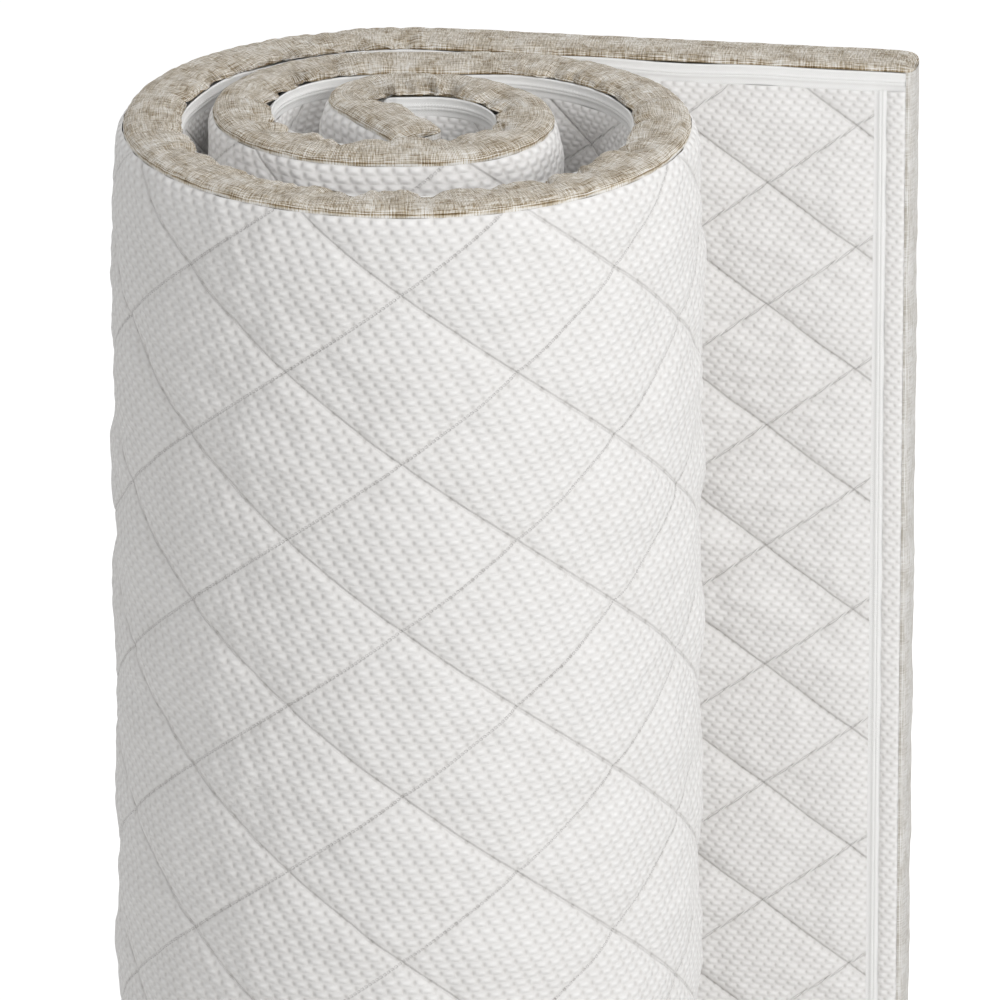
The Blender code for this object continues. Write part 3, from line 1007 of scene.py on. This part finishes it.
@dataclass
class ZipRun:
    """A length of zip along the top or the bottom of the inner face."""

    hinge: Hinge
    edge: Edge
    sizes: ZipSizes = field(default_factory=ZipSizes)
    turn_in: float = 0.016  # width of tape beyond the seam
    sink: float = 0.0052  # how far it drops from the seam to the foam

    def build(self) -> list[bpy.types.Object]:
        """Lays the zip along the pad."""
        route, pad = self.hinge.route, self.hinge.route.pad
        s = stations(self.hinge, pad.end_seam, route.length - pad.end_seam, self.sizes.step)[:, None]
        v, h = self.sizes.profile()
        coil = (h > 0.0004)[None]
        teeth = np.cos(TAU * s / self.sizes.pitch) * self.sizes.tooth * coil
        loose = ripple(s, v[None], 51, (0.09, 0.3)) * 0.0004
        out = pad.half - self.sizes.face + h[None] + teeth + loose
        top = self.edge is Edge.TOP
        low = pad.width - pad.inner_seam - self.sizes.width if top else pad.inner_seam
        z = low + v[None] + ripple(s, v[None] * 0, 52, (0.12, 1.0)) * 0.0006
        # beyond its seam the tape turns in over the foam, and shows where the border is gathered
        way, edge = (1, -1) if top else (-1, 0)
        over = np.linspace(0, 1, 7)[None, 1:]
        turned = (out[:, [edge]] - self.turn_in * over, z[:, [edge]] - way * self.sink * (1 - np.exp(-5 * over)),
                  v[edge] + way * self.turn_in * over)
        out, z, v = (np.concatenate([a + 0 * s, b + 0 * s] if top else [b[:, ::-1] + 0 * s, a + 0 * s], 1)
                     for a, b in zip((out, z, v[None]), turned))
        points = route.place(s, out, z)
        cut = np.stack(np.broadcast_arrays(s, v), -1)
        tape = WovenTape("woven_zip_tape", roughness=0.75, sheen=0.1)
        made = Layer(f"{self.edge.value}_zip", tape, "zip_tape").lay(self.hinge, s[:, 0], points, cut)
        for piece in made:
            flat_size(piece)
        return made


@dataclass
class EndZip:
    """The upright length of zip beside a short end's border, and the strip of knit between the two."""

    route: Route
    end: End
    knit: JacquardKnit
    sizes: ZipSizes = field(default_factory=ZipSizes)
    lap: float = 0.0034  # the knit stops this far from the coil's middle
    proud: float = 0.0014  # how far it stands out

    def build(self) -> list[bpy.types.Object]:
        """Stands the zip and its facing beside the end border."""
        route, pad, sizes = self.route, self.route.pad, self.sizes
        middle = pad.border + pad.fit + sizes.width / 2  # where the slider runs
        low = pad.inner_seam + sizes.width - 2 * MM
        z = np.arange(low, pad.width - low, sizes.step)[:, None]
        v, h = sizes.profile()
        teeth = np.cos(TAU * z / sizes.pitch) * sizes.tooth * (h > 0.0004)[None]
        across = middle - sizes.width / 2 + v[None]
        points = route.place(self.along(across), pad.half - sizes.face + h[None] + teeth, z)
        cut = np.stack(np.broadcast_arrays(z, across), -1)
        tape = stand(self.end, "end_zip", WovenTape("woven_zip_tape", roughness=0.75, sheen=0.1),
                     points, cut)
        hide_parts(f"{self.end.value[0]}_end_zip")
        flat_size(tape)
        across = np.linspace(pad.end_seam, middle - self.lap, 9)[None]
        edge = np.minimum(across - across.min(), across.max() - across)
        proud = self.proud * (1 - np.exp(-edge / 0.0012)) + ripple(z, across, 55, (0.05, 0.05)) * 0.0003
        points = route.place(self.along(across), pad.half - 0.0006 + proud, z)
        cut = np.stack(np.broadcast_arrays(across, z), -1)
        facing = stand(self.end, "end_facing", self.knit, points, cut)
        return [tape, facing]

    def along(self, across: np.ndarray) -> np.ndarray:
        """Lengths along the route, from distances in from the pad's end."""
        return across if self.end is End.LOOSE else self.route.length - across


# ---------------------------------------------------------------- the foam and the fittings


@dataclass
class FoamCore:
    """The foam inside the cover, cut with softened edges."""

    hinge: Hinge
    inset: float = 0.0012
    soften: float = 0.006
    step: float = 0.008

    def build(self) -> list[bpy.types.Object]:
        """Lays the foam along the pad, closed at both ends."""
        route, pad = self.hinge.route, self.hinge.route.pad
        ends = pad.border + pad.fit
        s = stations(self.hinge, ends, route.length - ends, self.step)
        half = pad.foam / 2 - self.inset
        low = pad.border + pad.fit + self.inset
        high = pad.width - low
        angle = np.linspace(0, math.pi / 2, 5)
        corners = ((half - self.soften, high - self.soften, 0), (-half + self.soften, high - self.soften, 1),
                   (-half + self.soften, low + self.soften, 2), (half - self.soften, low + self.soften, 3))
        n = np.concatenate([x + self.soften * np.cos(angle + q * math.pi / 2) for x, _, q in corners])
        z = np.concatenate([y + self.soften * np.sin(angle + q * math.pi / 2) for _, y, q in corners])
        n, z = np.append(n, n[0]), np.append(z, z[0])
        points = route.place(s[:, None], n[None], z[None])
        centre = route.place(s[:, None], 0.0, pad.width / 2) + 0 * points
        points = np.concatenate([centre[:1], points, centre[-1:]])
        s = np.concatenate([s[:1], s, s[-1:]])
        cut = np.stack(np.broadcast_arrays(s[:, None], z[None]), -1)
        made = Layer("foam_core", CutFoam("cut_foam", roughness=0.95), "foam").lay(self.hinge, s, points, cut)
        return made


@dataclass
class Fittings:
    """The zip's slider and puller, which keep the frame's shapes."""

    finish: Finish = field(default_factory=lambda: LacqueredZinc("lacquered_zinc", roughness=0.35))

    def dress(self) -> None:
        """Gives both their finish."""
        for name in ("zip_slider", "zip_puller"):
            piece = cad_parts[name]
            for place in range(len(piece.material_slots)):
                piece.material_slots[place].material = self.finish.make()
            LOG.info("%s: dressed", name)


# ---------------------------------------------------------------- floor, light and camera


@dataclass
class Studio:
    """A plain pale floor, soft light and the camera."""

    target: tuple[float, float, float] = (-0.0160, 0.0, 0.6315)
    azimuth: float = -0.33
    elevation: float = 20.5
    distance: float = 9.0
    lens: float = 499.8

    def build(self) -> None:
        """Sets up the floor, the light and the camera."""
        scene = bpy.context.scene
        scene.view_settings.view_transform = "Standard"
        self.floor()
        self.light()
        camera = bpy.data.objects.new("camera", bpy.data.cameras.new("camera"))
        scene.collection.objects.link(camera)
        turn, rise = math.radians(self.azimuth), math.radians(self.elevation)
        back = Vector((math.sin(turn) * math.cos(rise), -math.cos(turn) * math.cos(rise), math.sin(rise)))
        camera.location = Vector(self.target) + back * self.distance
        camera.rotation_euler = (-back).to_track_quat("-Z", "Y").to_euler()
        camera.data.lens = self.lens
        camera.data.sensor_width = 36.0
        scene.camera = camera

    def floor(self) -> None:
        """A wide pale floor."""
        bpy.ops.mesh.primitive_plane_add(size=30.0)
        plane = bpy.context.object
        plane.name = "floor"
        made = bpy.data.materials.new("pale_floor")
        made.use_nodes = True
        tree = made.node_tree
        shader = tree.nodes["Principled BSDF"]
        shader.inputs["Base Color"].default_value = linear("#EDEDEC")
        shader.inputs["Roughness"].default_value = 0.9
        shader.inputs["Emission Color"].default_value = (1.0, 1.0, 1.0, 1.0)
        rays = add(tree, "LightPath").node.outputs
        seen = add(tree, "Math", [rays["Is Camera Ray"], rays["Is Glossy Ray"]], operation="MAXIMUM")
        # the eye sees the floor as white, and the shadow on it stays
        tree.links.new(add(tree, "Math", [seen, 0.5], operation="MULTIPLY"), shader.inputs["Emission Strength"])
        plane.data.materials.append(made)

    def light(self) -> None:
        """An even white room, a large lamp from the right and a weaker one from above."""
        world = bpy.data.worlds.new("room")
        bpy.context.scene.world = world
        world.use_nodes = True
        tree = world.node_tree
        rays = add(tree, "LightPath").node.outputs
        seen = add(tree, "Math", [rays["Is Camera Ray"], rays["Is Glossy Ray"]], operation="MAXIMUM")
        seen = add(tree, "Math", [seen, rays["Is Transmission Ray"]], operation="MAXIMUM")
        level = add(tree, "MapRange", [seen, 0.0, 1.0, 0.55, 1.0])
        tree.links.new(level, tree.nodes["Background"].inputs["Strength"])
        tree.nodes["Background"].inputs["Color"].default_value = (1.0, 1.0, 1.0, 1.0)
        for name, place, size, power in (("key", (2.2, -2.7, 2.5), 1.6, 64.0), ("top", (0.3, 0.4, 3.4), 2.0, 14.0)):
            lamp = bpy.data.objects.new(name, bpy.data.lights.new(name, "AREA"))
            bpy.context.scene.collection.objects.link(lamp)
            lamp.location = place
            lamp.rotation_euler = (Vector((0.0, 0.0, 0.5)) - Vector(place)).to_track_quat("-Z", "Y").to_euler()
            lamp.data.size = size
            lamp.data.energy = power


def main() -> None:
    """Builds the mattress's covers and fittings in order, and the studio round it."""
    logging.basicConfig(level=logging.INFO, format="%(message)s")
    pad = PadSizes()
    route = Route(pad)
    hinge = Hinge(route)
    wadding = Wadding()
    outer = Quilt(wide=0.148, tall=0.1135, crossing=(0.847, 0.839), dot_wide=0.0100, dot_tall=0.0056, puff=1.0)
    inner = Quilt(wide=0.116, tall=0.084, crossing=(0.0957, 0.727), dot_wide=0.0077, dot_tall=0.0042, puff=0.6,
                  slant=-1)
    plain_knit = JacquardKnit("jacquard_knit_facing", roughness=0.9, sheen=0.15,
                              quilt=Quilt(9.0, 9.0, (0.0, 0.0), inner.dot_wide, inner.dot_tall, inner.puff))
    FoamCore(hinge).build()
    QuiltedPanel(hinge, Side.OUTER, outer, start=pad.end_seam, end=route.length - pad.end_seam,
                 low=pad.outer_seam, high=pad.width - pad.outer_seam, wadding=wadding, breaks=(1.16,)).build()
    beside_zip = pad.zip_width - MM  # the panel's edge laps the tape
    beside_end_zip = pad.border + pad.fit + pad.zip_width - 0.0022
    QuiltedPanel(hinge, Side.INNER, inner, start=beside_end_zip, end=route.length - beside_end_zip,
                 low=pad.inner_seam + beside_zip, high=pad.width - pad.inner_seam - beside_zip, wadding=wadding,
                 breaks=(1.10,), fullness=0.0022, pillow=0.0020, crumple=0.0011, tuck=0.0006, fall_depth=0.0020,
                 rise_depth=0.0010).build()
    Band(hinge).build()
    for edge in Edge:
        ZipRun(hinge, edge).build()
    for end in End:
        EndBand(route, end).build()
        EndZip(route, end, plain_knit).build()
    Fittings().dress()
    Studio().build()


if __name__ == "__main__":
    main()
